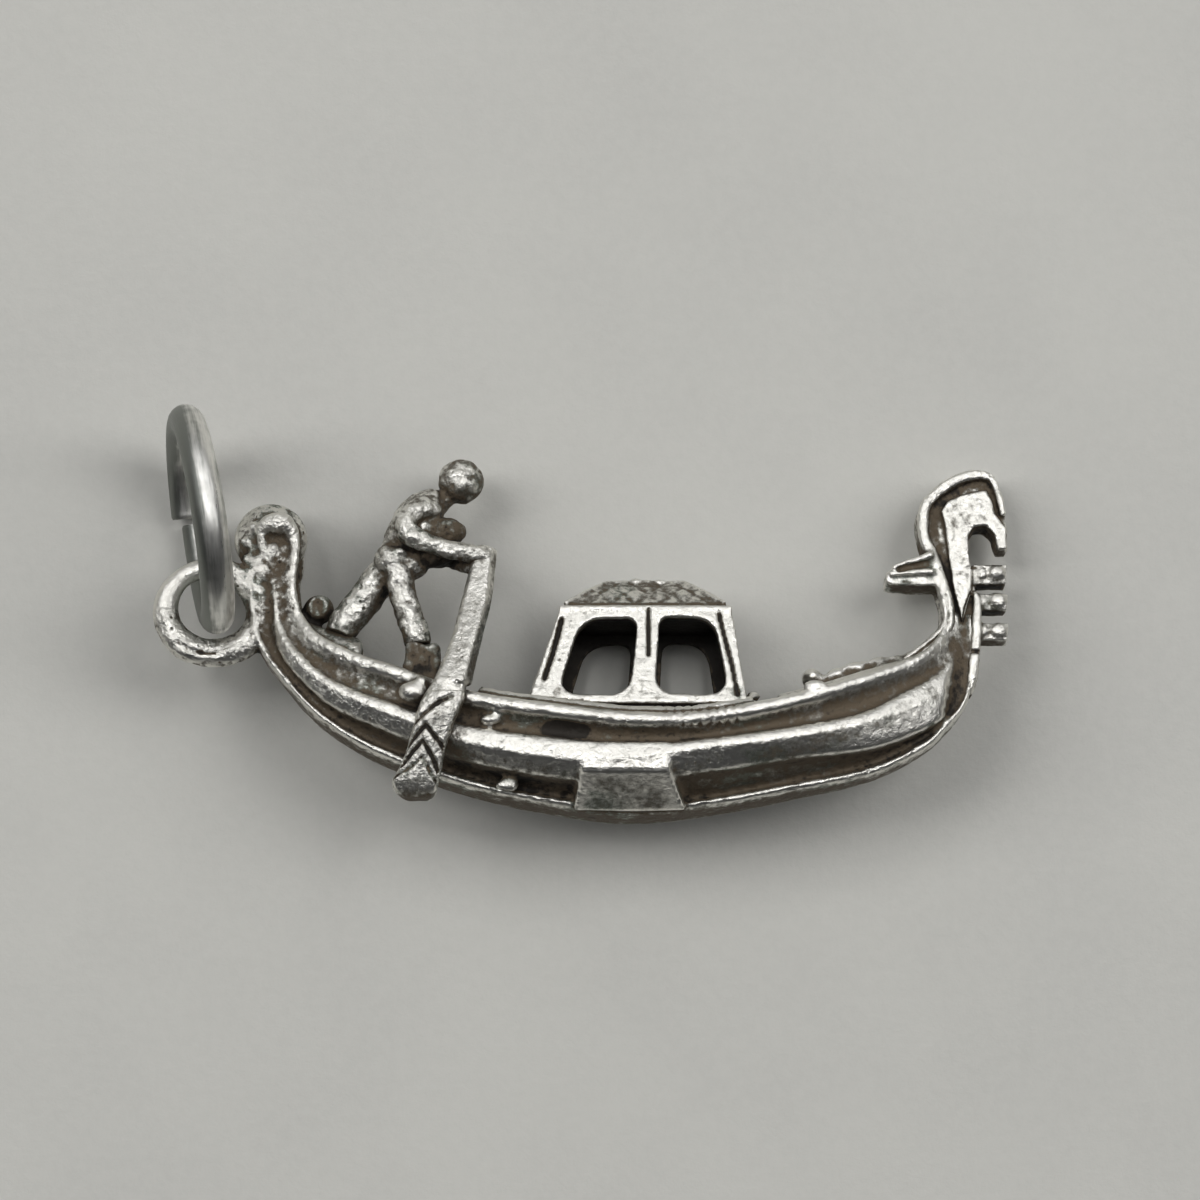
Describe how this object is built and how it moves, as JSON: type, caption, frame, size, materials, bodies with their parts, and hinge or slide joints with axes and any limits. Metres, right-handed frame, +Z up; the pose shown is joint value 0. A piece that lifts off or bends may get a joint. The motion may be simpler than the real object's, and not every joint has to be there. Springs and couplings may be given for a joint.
{
  "type": "gondola bracelet charm",
  "caption": "Small cast silver charm shaped as a rowed gondola with an open cabin, a standing rower and a bow iron, hung from a loop by an open jump ring.",
  "frame": {"origin": "bottom centre of the bounding box, on the table that the charm lies on", "axes": "+X from stern to bow, +Z up from the table through the starboard side, +Y towards the cabin roof, which leans 14.5 degrees down to the table"},
  "size_m": [0.0288, 0.014, 0.0076],
  "materials": {
    "cast_silver": "cast silver, pitted, worn bright on the high places with brown tarnish in the hollows",
    "dark_silver": "tarnished cast silver, dull grey brown",
    "ring_wire": "smooth drawn wire, satin grey with fine scratches"
  },
  "bodies": {
    "charm": {"bow_iron_barb": "cast_silver", "bow_iron_head": "cast_silver", "bow_iron_stem": "cast_silver", "bow_iron_tooth_lower": "cast_silver", "bow_iron_tooth_middle": "cast_silver", "bow_iron_tooth_upper": "cast_silver", "cabin_coaming": "cast_silver", "cabin_end_aft": "cast_silver", "cabin_end_fore": "cast_silver", "cabin_post_aft_port": "cast_silver", "cabin_post_aft_starboard": "cast_silver", "cabin_post_fore_port": "cast_silver", "cabin_post_fore_starboard": "cast_silver", "cabin_roof": "dark_silver", "cabin_side_port": "cast_silver", "cabin_side_starboard": "cast_silver", "deck_knob": "dark_silver", "figure_arm_port": "cast_silver", "figure_arm_starboard": "cast_silver", "figure_head": "cast_silver", "figure_leg_back": "cast_silver", "figure_leg_front": "cast_silver", "figure_step": "dark_silver", "figure_torso": "cast_silver", "foredeck": "cast_silver", "foredeck_ball": "dark_silver", "foredeck_crest": "dark_silver", "gunwale_port": "cast_silver", "gunwale_starboard": "cast_silver", "hull_shell": "cast_silver", "mark_plate": "cast_silver", "oar_blade": "cast_silver", "oar_shaft": "cast_silver", "oarlock": "cast_silver", "stern_ball": "cast_silver", "stern_deck": "cast_silver", "suspension_loop": "cast_silver", "wale_port": "cast_silver", "wale_starboard_aft": "cast_silver", "wale_starboard_fore": "cast_silver"},
    "ring": {"jump_ring": "ring_wire"}
  },
  "joints": [
    {"name": "ring_swing", "type": "hinge", "parent": "charm", "child": "ring", "pos_m": [-0.01239, 0.00171, 0.00229], "axis": [1, 0, 0], "range_deg": [-110, 8]}
  ]
}
